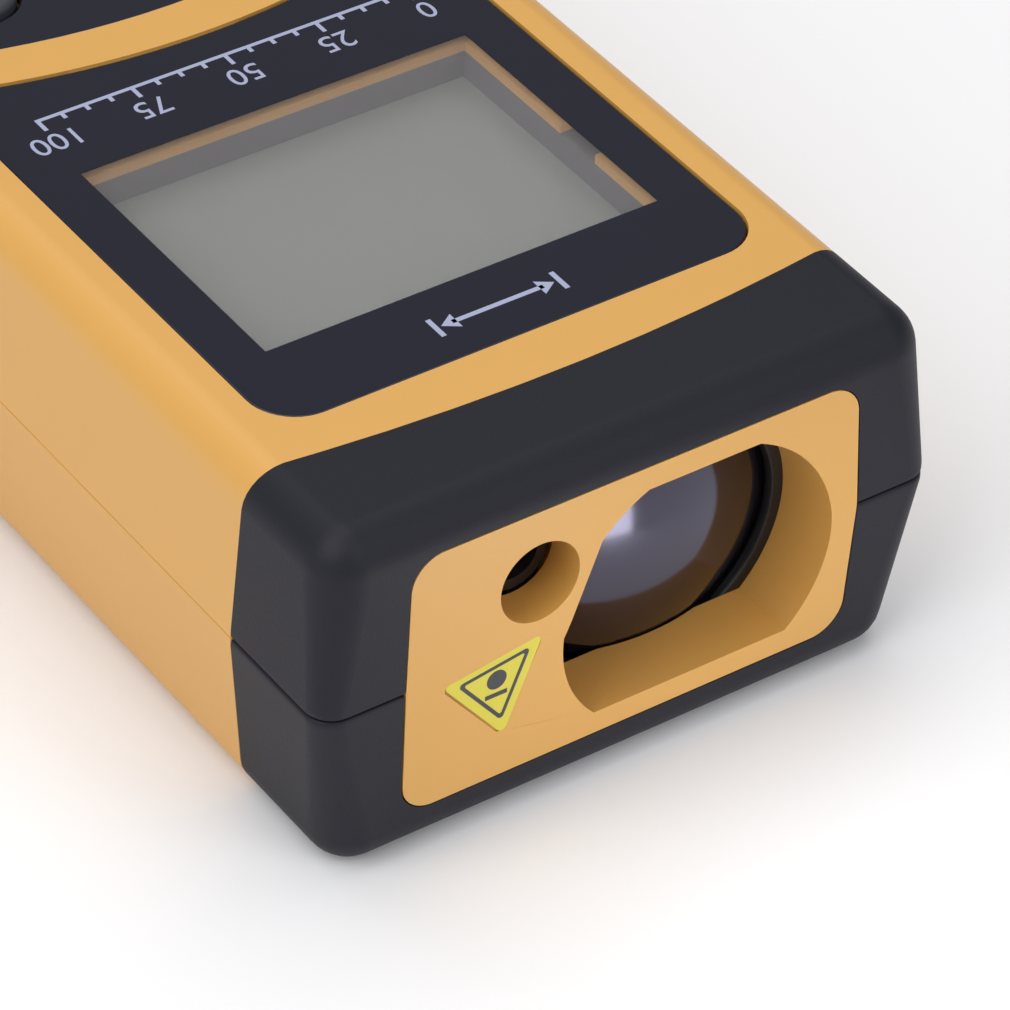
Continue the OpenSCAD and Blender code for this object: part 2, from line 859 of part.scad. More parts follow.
module battery_door() {
    lip_d = door_d0 + door_gap;
    tongue_z = wall + 0.15;
    color([0.9, 0.55, 0.1]) {
        difference() {
            translate([0, 0, door_sink]) linear_extrude(height = wall - 2 * door_sink) door_outline(door_gap);
            for (i = [0 : 4])
                translate([-grip_half, back(door_d1) - 3 - 2 * grip_w * i, -grip_w / 2])
                    cube([2 * grip_half, grip_w, grip_w]);
        }
        for (x = [-tongue_x, tongue_x]) {
            span(x - tongue_w / 2, x + tongue_w / 2, lip_d - tongue_l, lip_d + tongue_t,
                tongue_z, tongue_z + tongue_t);
            span(x - tongue_w / 2, x + tongue_w / 2, lip_d, lip_d + tongue_t, wall / 2, tongue_z + eps);
        }
    }
}

module battery_cells() {
    color("steelblue") for (sx = [-1, 1]) {
        d0 = bay_d0 + contact_l;
        d1 = d0 + cell_l;
        body = sx > 0 ? [d0 + tip_l, d1] : [d0, d1 - tip_l];
        tip = sx > 0 ? [d0, d0 + tip_l + 0.1] : [d1 - tip_l - 0.1, d1];
        bar_y(sx * cell_x, cell_z, cell_d / 2, body[0], body[1]);
        bar_y(sx * cell_x, cell_z, tip_r, tip[0], tip[1]);
    }
}

// A square contact plate on the bay's wall at depth d; way is 1 if it faces the tail
module contact_pad(sx, d, way) {
    ends = [d, d + way * pad_t];
    span(sx * cell_x - pad_half, sx * cell_x + pad_half, min(ends), max(ends),
        cell_z - pad_half, cell_z + pad_half);
}

// Coil contact springs, each drawn as its turns in front of a back plate
module contact_springs() {
    wire_r = 0.25;
    first = pad_t + wire_r;
    pitch = (contact_l - 0.1 - wire_r - first) / (coil_turns - 1);
    color("silver") for (sx = [-1, 1]) {
        wall_d = sx > 0 ? bay_d1 : bay_d0;
        contact_pad(sx, wall_d, -sx);
        for (i = [0 : coil_turns - 1])
            translate([sx * cell_x, back(wall_d - sx * (first + pitch * i)), cell_z])
                rotate([90, 0, 0]) rotate_extrude($fn = 48)
                    translate([coil_r * (1 - i / 8), 0]) circle(r = wire_r, $fn = 16);
    }
}

module contact_plates() {
    color("silver") for (sx = [-1, 1]) {
        wall_d = sx > 0 ? bay_d0 : bay_d1;
        contact_pad(sx, wall_d, sx);
        dimple = [wall_d + sx * pad_t / 2, wall_d + sx * (contact_l - 0.05)];
        bar_y(sx * cell_x, cell_z, dimple_r, min(dimple), max(dimple));
    }
}

// ---- fasteners ----

module tripod_insert() {
    color("goldenrod") at_depth(tripod_d) difference() {
        cylinder(r = tripod_out_r, h = tripod_l);
        translate([0, 0, -1]) cylinder(r = tripod_r, h = tripod_l + 2);
    }
}

module case_screws() {
    color("silver") case_screw_places() translate([0, 0, case_head_z]) screw_up(screw_r, thread_l);
}

module board_screws() {
    color("silver") board_screw_places() translate([0, 0, board_z]) screw_up(screw_r, board_thread_l);
}

module optics_screws() {
    color("silver") optics_screw_places() translate([0, 0, ear_z + ear_t]) mirror([0, 0, 1])
        screw_up(screw_r, ear_thread_l);
}

upper_shell();
lower_shell();
front_bumper_upper();
front_bumper_lower();
tail_bumper_upper();
tail_bumper_lower();
optics_panel();
laser_label();
display_window();
window_gasket();
display_frame();
display_glass();
display_reflector();
contact_strip();
keypad_fascia();
measure_key();
area_key();
edge_key();
plus_key();
minus_key();
units_key();
clear_key();
history_key();
key_domes();
optics_chassis();
receiver_lens();
lens_ring();
laser_barrel();
collimator_lens();
laser_diode();
laser_flex();
detector_board();
detector();
detector_pins();
main_board();
shield_can();
board_chips();
buzzer();
battery_door();
battery_cells();
contact_springs();
contact_plates();
tripod_insert();
case_screws();
board_screws();
optics_screws();
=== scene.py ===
"""Looks of a handheld laser distance meter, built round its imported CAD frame."""
import json
import math

import bmesh
import bpy
from bpy.props import FloatProperty, FloatVectorProperty, PointerProperty
from mathutils import Matrix, Vector
from mathutils.bvhtree import BVHTree


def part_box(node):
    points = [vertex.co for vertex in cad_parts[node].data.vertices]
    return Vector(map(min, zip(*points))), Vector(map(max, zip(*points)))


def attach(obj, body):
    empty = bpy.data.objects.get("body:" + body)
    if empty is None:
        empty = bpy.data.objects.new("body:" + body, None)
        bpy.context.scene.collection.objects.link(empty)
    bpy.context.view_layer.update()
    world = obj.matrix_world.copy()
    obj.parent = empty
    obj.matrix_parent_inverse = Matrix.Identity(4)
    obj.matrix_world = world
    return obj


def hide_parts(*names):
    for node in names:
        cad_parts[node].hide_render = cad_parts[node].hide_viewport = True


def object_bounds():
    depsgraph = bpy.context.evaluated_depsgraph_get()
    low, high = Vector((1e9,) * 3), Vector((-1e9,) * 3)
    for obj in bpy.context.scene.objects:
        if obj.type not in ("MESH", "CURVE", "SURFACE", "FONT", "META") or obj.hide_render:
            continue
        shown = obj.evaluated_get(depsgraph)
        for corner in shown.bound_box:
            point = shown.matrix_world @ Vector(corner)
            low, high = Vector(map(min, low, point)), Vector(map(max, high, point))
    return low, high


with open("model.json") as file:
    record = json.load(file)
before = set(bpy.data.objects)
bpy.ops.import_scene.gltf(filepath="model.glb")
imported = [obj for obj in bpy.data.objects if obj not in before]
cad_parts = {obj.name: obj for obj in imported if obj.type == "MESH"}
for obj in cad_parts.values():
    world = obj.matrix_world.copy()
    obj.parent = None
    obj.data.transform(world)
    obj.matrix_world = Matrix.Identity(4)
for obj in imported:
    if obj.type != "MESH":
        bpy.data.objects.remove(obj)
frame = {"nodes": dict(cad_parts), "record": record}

bl_info = {
    "name": "Laser Distance Meter",
    "version": (1, 0, 0),
    "blender": (4, 5, 0),
    "location": "View3D > Sidebar > Meter",
    "description": "Builds the visible pieces and finishes of a handheld laser distance meter",
    "category": "Add Mesh",
}

MM = 0.001
CAD_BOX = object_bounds()
FRONT = CAD_BOX[0].y / MM
NODES = frame["nodes"]
BODIES = frame["record"]["behaviour"]["bodies"]

# Optics: CAD boxes in metres, centres in the face's plane and radii in mm
LENS_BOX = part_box("receiver_lens")
LENS_X = (LENS_BOX[0].x + LENS_BOX[1].x) / 2 / MM
LENS_Z = (LENS_BOX[0].z + LENS_BOX[1].z) / 2 / MM
LENS_R = (LENS_BOX[1].x - LENS_BOX[0].x) / 2 / MM
RING_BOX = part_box("lens_ring")
RING_R = (RING_BOX[1].x - RING_BOX[0].x) / 2 / MM
RING_LAP = 0.1
RECESS_R = RING_R - RING_LAP
LENS_CURVE_R = 20.0
BARREL_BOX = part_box("laser_barrel")
EMITTER_X = (BARREL_BOX[0].x + BARREL_BOX[1].x) / 2 / MM
EMITTER_Z = (BARREL_BOX[0].z + BARREL_BOX[1].z) / 2 / MM
EMITTER_R = 3.4
LABEL_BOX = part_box("laser_label")

# Display window: CAD boxes in metres, the rest in mm. The frame stops short of the cavity's roof
WINDOW_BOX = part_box("display_window")
WINDOW_TOP = WINDOW_BOX[1].z / MM
WINDOW_BASE = WINDOW_BOX[0].z / MM
VIEW_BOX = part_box("display_reflector")
FRAME_GAP = 0.03
CAVITY_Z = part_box("display_frame")[1].z / MM + FRAME_GAP
PRINT_T = 0.08
PANE_LAP = 1.0
ACRYLIC_EASE = 0.12

# Keypad and printed marks, in mm: key tops stay this far under the CAD's, and ink goes down to its root
OVAL_KEYS = ("area_key", "edge_key", "plus_key", "minus_key", "units_key", "clear_key", "history_key")
KEY_TOP_DROP = 0.03
INK_T = 0.02
INK_ROOT = 0.05


def linear(hex_text):
    """An sRGB hex colour as linear RGBA."""
    channels = [int(hex_text[i:i + 2], 16) / 255 for i in (1, 3, 5)]
    return (*[c / 12.92 if c <= 0.04045 else ((c + 0.055) / 1.055) ** 2.4 for c in channels], 1.0)


def colour_property(name, description, hex_text):
    return FloatVectorProperty(
        name=name, description=description, subtype="COLOR", size=4, min=0, max=1,
        default=linear(hex_text))


def size_property(name, description, millimetres):
    return FloatProperty(
        name=name, description=description, subtype="DISTANCE", unit="LENGTH", min=0,
        default=millimetres * MM)


class MeterCase(bpy.types.PropertyGroup):
    """Colours and edge sizes of the case"""

    abs_colour: colour_property("Case colour", "Orange ABS of the shells and the optics panel", "#D7A252")
    skin_colour: colour_property("Bumper colour", "Black elastomer over the ends", "#13131F")
    edge_ease: size_property("Shell edge", "Rounding of the shells' moulded edges", 0.16)
    skin_ease: size_property("Bumper edge", "Rounding of the bumpers' edges", 0.2)
    opening_ease: size_property("Opening edge", "Rounding round the optics openings", 0.55)


class MeterDisplay(bpy.types.PropertyGroup):
    """Colours of the display window and what shows through it"""

    border_colour: colour_property("Border colour", "Ink behind the window's border", "#1B1C28")
    ink_colour: colour_property("Print colour", "Pale ink of the scale", "#A3A9C4")
    glass_colour: colour_property("Display colour", "Unlit liquid crystal display", "#818784")


class MeterKeys(bpy.types.PropertyGroup):
    """Colours of the keypad"""

    key_colour: colour_property("Key colour", "Silicone of the small keys", "#3A3C44")
    measure_colour: colour_property("Measure key colour", "Silicone of the measure key", "#C8362A")
    mark_colour: colour_property("Mark colour", "Ink of the keys' marks", "#E8E8EA")


class MeterStudio(bpy.types.PropertyGroup):
    """Camera and light"""

    azimuth: FloatProperty(
        name="Azimuth", description="Way the camera looks, from +Y towards +X", subtype="ANGLE",
        default=math.radians(36.39))
    elevation: FloatProperty(
        name="Elevation", description="Height of the camera above the horizon", subtype="ANGLE",
        default=math.radians(39.287))
    roll: FloatProperty(
        name="Roll", description="Tilt of the camera", subtype="ANGLE", default=math.radians(2.764))
    distance: size_property("Distance", "Distance from the camera to its aim", 421.8)
    aim_back: size_property("Aim", "Place of the aim behind the optics face", 16.42)
    aim_height: size_property("Aim height", "Height of the aim", 13.31)
    lens: FloatProperty(
        name="Lens", description="Focal length on a 36 mm sensor, in mm", min=1, default=203.65)
    floor_colour: colour_property("Floor colour", "Pale seamless table", "#F4F4F5")
    light: FloatProperty(name="Light", description="Strength of all lamps", min=0, default=1.0)


# ---- materials ----


def node(tree, kind, settings=None, links=None):
    """Adds a node: settings holds its attributes and input values, links what feeds its inputs."""
    made = tree.nodes.new(kind)
    for key, value in (settings or {}).items():
        if isinstance(key, str) and hasattr(made, key):
            setattr(made, key, value)
        else:
            made.inputs[key].default_value = value
    for key, source in (links or {}).items():
        tree.links.new(source, made.inputs[key])
    return made


def start(name):
    """A new material, its empty tree and the socket that gives a point's place on the object."""
    material = bpy.data.materials.new(name)
    material.use_nodes = True
    tree = material.node_tree
    tree.nodes.clear()
    place = node(tree, "ShaderNodeTexCoord").outputs["Object"]
    return material, tree, place


def close(tree, shader):
    node(tree, "ShaderNodeOutputMaterial", links={"Surface": shader})


def shade(colour, factor):
    return (*[min(c * factor, 1.0) for c in colour[:3]], 1.0)


def surface(name, colour, roughness, grain_mm, grain_depth_mm, drift=0.05, ior=1.5, metallic=0.0, **extra):
    """A solid finish: its colour drifts a little over 8 mm, and a fine grain breaks up the gloss."""
    drift_mm = 8.0
    material, tree, place = start(name)
    flow = node(tree, "ShaderNodeTexNoise", {"Scale": 1 / (drift_mm * MM), "Detail": 2.0}, {"Vector": place})
    tint = node(tree, "ShaderNodeMix", {"data_type": "RGBA"}, {"Factor": flow.outputs["Fac"]})
    tint.inputs[6].default_value = shade(colour, 1 - drift)
    tint.inputs[7].default_value = shade(colour, 1 + drift)
    grain = node(tree, "ShaderNodeTexNoise", {"Scale": 1 / (grain_mm * MM), "Detail": 3.0, "Roughness": 0.6},
                 {"Vector": place})
    gloss = node(tree, "ShaderNodeMapRange", {"To Min": roughness * 0.9, "To Max": min(roughness * 1.1, 1)},
                 {"Value": grain.outputs["Fac"]})
    bump = node(tree, "ShaderNodeBump", {"Strength": 1.0, "Distance": grain_depth_mm * MM},
                {"Height": grain.outputs["Fac"]})
    shader = node(tree, "ShaderNodeBsdfPrincipled", {"Metallic": metallic, "IOR": ior, **extra},
                  {"Base Color": tint.outputs[2], "Roughness": gloss.outputs["Result"],
                   "Normal": bump.outputs["Normal"]})
    close(tree, shader.outputs["BSDF"])
    return material


def orange_abs(settings):
    # Injection moulded ABS from a spark-eroded tool: satin, with grain too fine to see one by one
    return surface("abs_spark_grain", settings.abs_colour, 0.42, 0.22, 0.006, drift=0.02, ior=1.53)


def black_elastomer(settings):
    # Thermoplastic elastomer moulded over the ABS: dull, bluish black, with a fine even grain
    return surface("tpe_fine_grain", settings.skin_colour, 0.56, 0.2, 0.014, drift=0.06, ior=1.45,
                   **{"Specular IOR Level": 0.4})


def chassis_nylon():
    # Glass-filled nylon: flat black with a faint fibre mottle
    return surface("nylon_glass_filled", linear("#1B1B1E"), 0.62, 0.4, 0.01, drift=0.12, ior=1.53)


def ring_pom():
    # Turned acetal ring: near black with a slight waxy gloss
    return surface("acetal_turned", linear("#0B0B0C"), 0.38, 0.3, 0.003, drift=0.1, ior=1.48)


def barrel_aluminium():
    # Black anodised aluminium sleeve: satin black
    return surface("aluminium_black_anodised", linear("#101013"), 0.35, 0.15, 0.002, drift=0.1, ior=1.5)


def brass():
    # Machined brass: warm yellow metal with fine turning marks
    return surface("brass_machined", linear("#C9A457"), 0.28, 0.25, 0.003, drift=0.06, metallic=1.0)


def zinc_steel():
    # Zinc plated steel: cool grey metal, slightly cloudy
    return surface("steel_zinc_plated", linear("#B9BCC0"), 0.3, 0.5, 0.002, drift=0.08, metallic=1.0)


def tinned_can():
    # Tinned sheet steel: pale soft metal gloss
    return surface("steel_tinned_sheet", linear("#C6C7C4"), 0.22, 1.2, 0.002, drift=0.05, metallic=1.0)


def board_green():
    # Solder mask over copper and glass cloth: glossy green with a weave-sized ripple
    return surface("fr4_solder_mask", linear("#1E5A34"), 0.3, 0.6, 0.006, drift=0.1, ior=1.55)


def epoxy_black():
    # Moulded epoxy chip bodies: flat dark grey with a grainy top
    return surface("epoxy_moulded", linear("#222224"), 0.55, 0.12, 0.006, drift=0.08, ior=1.55)


def polyimide():
    # Polyimide flex: amber film with copper showing through
    return surface("polyimide_film", linear("#B9772F"), 0.25, 0.8, 0.004, drift=0.15, ior=1.6)


def zebra_rubber():
    # Silicone contact strip: soft pink
    return surface("silicone_contact", linear("#D98B92"), 0.6, 0.3, 0.004, drift=0.08, ior=1.41)


def film_white():
    # White polyester reflector: bright and slightly glossy
    return surface("polyester_white_film", linear("#E6E7E4"), 0.35, 0.9, 0.002, drift=0.02, ior=1.57)


def foam_black():
    # Closed-cell foam tape: flat black with open pores on its cut edges
    return surface("foam_closed_cell", linear("#141415"), 0.9, 0.25, 0.05, drift=0.2, ior=1.4)


def frame_grey():
    # Grey ABS display frame: satin, slightly violet
    return surface("abs_grey_satin", linear("#5C5A61"), 0.5, 0.3, 0.004, drift=0.03, ior=1.53)


def wrap_film(name, colour):
    # Shrink film round a cell: glossy printed plastic with slight ripples
    return surface(name, colour, 0.2, 3.0, 0.03, drift=0.04, ior=1.5)


def silicone(name, colour):
    # Moulded silicone key: matt, soft and very slightly uneven
    return surface(name, colour, 0.5, 0.25, 0.006, drift=0.05, ior=1.41)


def ink(name, colour):
    # Screen-printed ink: flat colour with a faint mesh-sized mottle
    return surface(name, colour, 0.35, 0.15, 0.001, drift=0.04, ior=1.5)


def border_acrylic(settings):
    # Acrylic printed black: deep bluish black under a polished surface
    return surface("acrylic_printed_border", settings.border_colour, 0.09, 6.0, 0.002, drift=0.05, ior=1.49)


def lens_coated():
    # Coated optical glass over a dark barrel: violet-grey mirror-like sheen
    material, tree, place = start("glass_coated_lens")
    cloud = node(tree, "ShaderNodeTexNoise", {"Scale": 1 / (6 * MM), "Detail": 1.0}, {"Vector": place})
    gloss = node(tree, "ShaderNodeMapRange", {"To Min": 0.1, "To Max": 0.16}, {"Value": cloud.outputs["Fac"]})
    shader = node(tree, "ShaderNodeBsdfPrincipled",
                  {"Base Color": linear("#120F16"), "IOR": 1.95, "Specular Tint": linear("#D9D4F4")},
                  {"Roughness": gloss.outputs["Result"]})
    close(tree, shader.outputs["BSDF"])
    return material


def diode_glass():
    # Small moulded lens deep in the barrel: dark red-brown glass
    return surface("glass_moulded_aspheric", linear("#2A1210"), 0.06, 2.0, 0.001, drift=0.1, ior=1.6)


def display_glass(settings):
    # Liquid crystal cell with a matt polariser: flat grey-green with a soft sheen
    return surface("lcd_polariser", settings.glass_colour, 0.3, 0.2, 0.001, drift=0.015, ior=1.5)


def clear_acrylic():
    # Clear polished acrylic: lets light through under a faint grey haze of fine scratches
    material, tree, place = start("acrylic_clear")
    ripple = node(tree, "ShaderNodeTexNoise", {"Scale": 1 / (12 * MM), "Detail": 1.0}, {"Vector": place})
    gloss = node(tree, "ShaderNodeMapRange", {"To Min": 0.0, "To Max": 0.015},
                 {"Value": ripple.outputs["Fac"]})
    glass = node(tree, "ShaderNodeBsdfPrincipled",
                 {"Base Color": linear("#E4E2E2"), "IOR": 1.49, "Transmission Weight": 0.94},
                 {"Roughness": gloss.outputs["Result"]})
    open_way = node(tree, "ShaderNodeBsdfTransparent", {"Color": linear("#E9E8E6")})
    light = node(tree, "ShaderNodeLightPath")
    mix = node(tree, "ShaderNodeMixShader", links={
        0: light.outputs["Is Shadow Ray"], 1: glass.outputs["BSDF"], 2: open_way.outputs["BSDF"]})
    close(tree, mix.outputs["Shader"])
    return material


def sticker_yellow():
    # Printed vinyl sticker: flat yellow with a soft gloss
    return surface("vinyl_yellow", linear("#D6CA3E"), 0.4, 0.5, 0.002, drift=0.03, ior=1.5)


def table_paper(settings):
    # Matt seamless paper: off-white with a faint fibre mottle
    return surface("paper_seamless", settings.floor_colour, 0.9, 2.0, 0.01, drift=0.004, ior=1.4)


# ---- mesh tools ----


def piece_from(name, bm, material, body="case", replaces=(), sharp=math.radians(32)):
    """Makes a piece of a bmesh given in mm, and hands it to its body."""
    bmesh.ops.recalc_face_normals(bm, faces=bm.faces)
    bmesh.ops.scale(bm, vec=(MM, MM, MM), verts=bm.verts)
    mesh = bpy.data.meshes.new(name)
    bm.to_mesh(mesh)
    bm.free()
    mesh.materials.append(material)
    mesh.shade_smooth()
    mesh.set_sharp_from_angle(angle=sharp)
    piece = bpy.data.objects.new(name, mesh)
    bpy.context.scene.collection.objects.link(piece)
    weigh = piece.modifiers.new("even_shading", "WEIGHTED_NORMAL")
    weigh.keep_sharp = True
    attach(piece, body)
    if replaces:
        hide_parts(*replaces)
    return piece


def cad_copy(name):
    """A CAD node's shape in mm, its coplanar triangles joined."""
    weld, flat = 0.012, math.radians(1.0)
    bm = bmesh.new()
    bm.from_mesh(NODES[name].data)
    bmesh.ops.scale(bm, vec=(1 / MM, 1 / MM, 1 / MM), verts=bm.verts)
    bmesh.ops.remove_doubles(bm, verts=bm.verts, dist=weld)
    bmesh.ops.dissolve_limit(bm, angle_limit=flat, verts=bm.verts, edges=bm.edges)
    return bm


def outer_edges(bm, chosen, least=math.radians(28)):
    """The convex edges that can be seen from outside the piece and that chosen() takes."""
    tree = BVHTree.FromBMesh(bm)
    lift = 0.02
    found = []
    for edge in bm.edges:
        if len(edge.link_faces) != 2 or not edge.is_convex or edge.calc_face_angle(0) < least:
            continue
        way = (edge.link_faces[0].normal + edge.link_faces[1].normal).normalized()
        middle = (edge.verts[0].co + edge.verts[1].co) / 2
        if chosen(middle) and tree.ray_cast(middle + way * lift, way)[0] is None:
            found.append(edge)
    return found


def ease(bm, width, chosen=lambda point: True, segments=3):
    """Rounds the outer edges that chosen() takes."""
    edges = outer_edges(bm, chosen)
    if edges:
        bmesh.ops.bevel(bm, geom=edges, offset=width, offset_type="OFFSET", segments=segments, profile=0.5,
                        affect="EDGES", clamp_overlap=True, loop_slide=True)


def revolve(bm, profile, x, z, turns=96):
    """Adds a solid turned about a line along Y; profile lists (radius, y) from one end to the other."""
    rings = []
    for radius, y in profile:
        if radius < 1e-6:
            rings.append([bm.verts.new((x, y, z))])
            continue
        rings.append([
            bm.verts.new((x + radius * math.cos(a), y, z + radius * math.sin(a)))
            for a in [2 * math.pi * i / turns for i in range(turns)]])
    for near, far in zip(rings, rings[1:]):
        for i in range(turns):
            j = (i + 1) % turns
            corners = [near[i % len(near)], near[j % len(near)], far[j % len(far)], far[i % len(far)]]
            kept = list(dict.fromkeys(corners))
            if len(kept) > 2:
                bm.faces.new(kept)
    for ring in (rings[0], rings[-1]):
        if len(ring) > 2:
            bm.faces.new(ring)


def stadium(x, y, half, radius, steps=16):
    """Points round a slot shape along X."""
    points = []
    for side in (1, -1):
        for i in range(steps + 1):
            a = math.pi * (i / steps - 0.5) + (0 if side > 0 else math.pi)
            points.append((x + side * half + radius * math.cos(a), y + radius * math.sin(a)))
    return points


def bridge(bm, rings):
    """Joins each ring of vertices to the next, all of equal counts."""
    for near, far in zip(rings, rings[1:]):
        for i in range(len(near)):
            j = (i + 1) % len(near)
            bm.faces.new((near[i], near[j], far[j], far[i]))


def loft(bm, loops):
    """Adds a solid through loops of equal counts, closed at both ends."""
    rings = [[bm.verts.new(p) for p in loop] for loop in loops]
    bridge(bm, rings)
    bm.faces.new(list(reversed(rings[0])))
    bm.faces.new(rings[-1])


def slab(bm, points, low, high):
    """Adds a flat solid over an outline."""
    loft(bm, [[(x, y, z) for x, y in points] for z in (low, high)])


def block(bm, low, high):
    slab(bm, [(low[0], low[1]), (high[0], low[1]), (high[0], high[1]), (low[0], high[1])], low[2], high[2])


def rounded(points, radius, steps=6):
    """A polygon with its corners rounded."""
    out = []
    for i, here in enumerate(points):
        before = Vector(points[i - 1])
        after = Vector(points[(i + 1) % len(points)])
        here = Vector(here)
        back = (before - here).normalized()
        on = (after - here).normalized()
        half = back.angle(on) / 2
        centre = here + (back + on).normalized() * radius / math.sin(half)
        first = here + back * radius / math.tan(half) - centre
        last = here + on * radius / math.tan(half) - centre
        turn = first.angle_signed(last)
        for k in range(steps + 1):
            spun = first.copy()
            spun.rotate(Matrix.Rotation(-turn * k / steps, 2))
            out.append(tuple(centre + spun))
    return out


def cut(piece, cutter_bm):
    """Takes a cutter given in mm out of a piece."""
    mesh = bpy.data.meshes.new("cutter")
    bmesh.ops.recalc_face_normals(cutter_bm, faces=cutter_bm.faces)
    bmesh.ops.scale(cutter_bm, vec=(MM, MM, MM), verts=cutter_bm.verts)
    cutter_bm.to_mesh(mesh)
    cutter_bm.free()
    cutter = bpy.data.objects.new("cutter", mesh)
    bpy.context.scene.collection.objects.link(cutter)
    step = piece.modifiers.new("cut", "BOOLEAN")
    step.object = cutter
    step.solver = "EXACT"
    bpy.context.view_layer.update()
    shaped = bpy.data.meshes.new_from_object(piece.evaluated_get(bpy.context.evaluated_depsgraph_get()))
    piece.modifiers.remove(step)
    piece.data = shaped
    bpy.data.objects.remove(cutter)


def finish_nodes(material, slot, *names):
    """Gives CAD nodes that keep their shape a material."""
    for name in names:
        mesh = NODES[name].data
        mesh.materials.clear()
        mesh.materials.append(material)


# ---- pieces ----


class MeterOperator:
    bl_options = {"REGISTER", "UNDO"}


class METER_OT_shells(MeterOperator, bpy.types.Operator):
    """Upper and lower shell with eased edges"""

    bl_idname = "meter.shells"
    bl_label = "Case shells"

    def execute(self, context):
        settings = context.scene.meter_case
        material = orange_abs(settings)
        for node_name, name in (("upper_shell", "case_top"), ("lower_shell", "case_base")):
            bm = cad_copy(node_name)
            ease(bm, settings.edge_ease / MM)
            piece_from(name, bm, material, replaces=[node_name])
        return {"FINISHED"}


class METER_OT_bumpers(MeterOperator, bpy.types.Operator):
    """Black bumper skins over both ends"""

    bl_idname = "meter.bumpers"
    bl_label = "Bumpers"

    def execute(self, context):
        settings = context.scene.meter_case
        material = black_elastomer(settings)
        for end in ("front", "tail"):
            for half in ("upper", "lower"):
                node_name = f"{end}_bumper_{half}"
                bm = cad_copy(node_name)
                ease(bm, settings.skin_ease / MM)
                piece_from(f"{end}_skin_{half}", bm, material, replaces=[node_name])
        return {"FINISHED"}


def near_openings(point):
    """True close to the rims of the receiver and laser openings."""
    margin = 1.2
    in_receiver = math.hypot(point.x - LENS_X, point.z - LENS_Z) < RECESS_R + margin
    in_laser = math.hypot(point.x - EMITTER_X, point.z - EMITTER_Z) < EMITTER_R + margin
    return in_receiver or in_laser


class METER_OT_optics_panel(MeterOperator, bpy.types.Operator):
    """Orange optics panel with its two soft-edged openings"""

    bl_idname = "meter.optics_panel"
    bl_label = "Optics panel"

    def execute(self, context):
        settings = context.scene.meter_case
        behind_face = FRONT + 1
        bm = cad_copy("optics_panel")
        ease(bm, settings.opening_ease / MM, lambda p: near_openings(p) and p.y < behind_face, segments=5)
        ease(bm, settings.edge_ease / MM, lambda p: not near_openings(p) and p.y < behind_face)
        piece_from("face_panel", bm, orange_abs(settings), replaces=["optics_panel"])
        return {"FINISHED"}


def label_triangle(inset):
    """Corners of the sticker's triangle, in the face's plane, drawn in by inset, and its centre."""
    low, high = LABEL_BOX[0] / MM, LABEL_BOX[1] / MM
    side, turn = 8.9, math.radians(8.7)
    full = side / math.sqrt(3)
    angles = [math.radians(d) + turn for d in (30, 150, 270)]
    ways = [Vector((math.cos(a), math.sin(a))) for a in angles]
    middle = Vector((max(w.x for w in ways) + min(w.x for w in ways),
                     max(w.y for w in ways) + min(w.y for w in ways))) / 2
    centre = Vector(((low.x + high.x) / 2, (low.z + high.z) / 2)) - middle * full
    return [tuple(centre + way * (full - 2 * inset)) for way in ways], centre


def face_slab(bm, points, low_y, high_y):
    """Adds a flat solid over an outline in the face's plane."""
    loft(bm, [[(x, y, z) for x, z in points] for y in (low_y, high_y)])


class METER_OT_label(MeterOperator, bpy.types.Operator):
    """Yellow triangular sticker with an outline and a plain dot over a bar"""

    bl_idname = "meter.label"
    bl_label = "Sticker"

    def execute(self, context):
        face = LABEL_BOX[0].y / MM + 2 * INK_T
        back = LABEL_BOX[1].y / MM
        outer, centre = label_triangle(0)
        outer_r, around_r, within_r = 0.45, 0.3, 0.15
        bm = bmesh.new()
        face_slab(bm, rounded(outer, outer_r), face, back)
        piece_from("sticker", bm, sticker_yellow(), replaces=["laser_label"])

        border_inset, border_w = 0.72, 0.3
        around = rounded(label_triangle(border_inset)[0], around_r)
        within = rounded(label_triangle(border_inset + border_w)[0], within_r)
        border = ((around, face), (around, face - INK_T), (within, face - INK_T), (within, face))
        bm = bmesh.new()
        bridge(bm, [[bm.verts.new((x, y, z)) for x, z in points] for points, y in border])
        dot_r, dot_up, dot_steps = 0.85, 0.45, 32
        dot = [(centre.x + math.cos(a) * dot_r, centre.y + dot_up + math.sin(a) * dot_r)
               for a in [2 * math.pi * i / dot_steps for i in range(dot_steps)]]
        face_slab(bm, dot, face - INK_T, face)
        bar_half, bar_up, bar_w = 0.95, -1.15, 0.4
        bar = [(centre.x + x, centre.y + bar_up + z) for x, z in (
            (-bar_half, 0), (bar_half, 0), (bar_half, bar_w), (-bar_half, bar_w))]
        face_slab(bm, bar, face - INK_T, face)
        piece_from("sticker_mark", bm, ink("ink_dark_grey", linear("#34353C")))
        return {"FINISHED"}


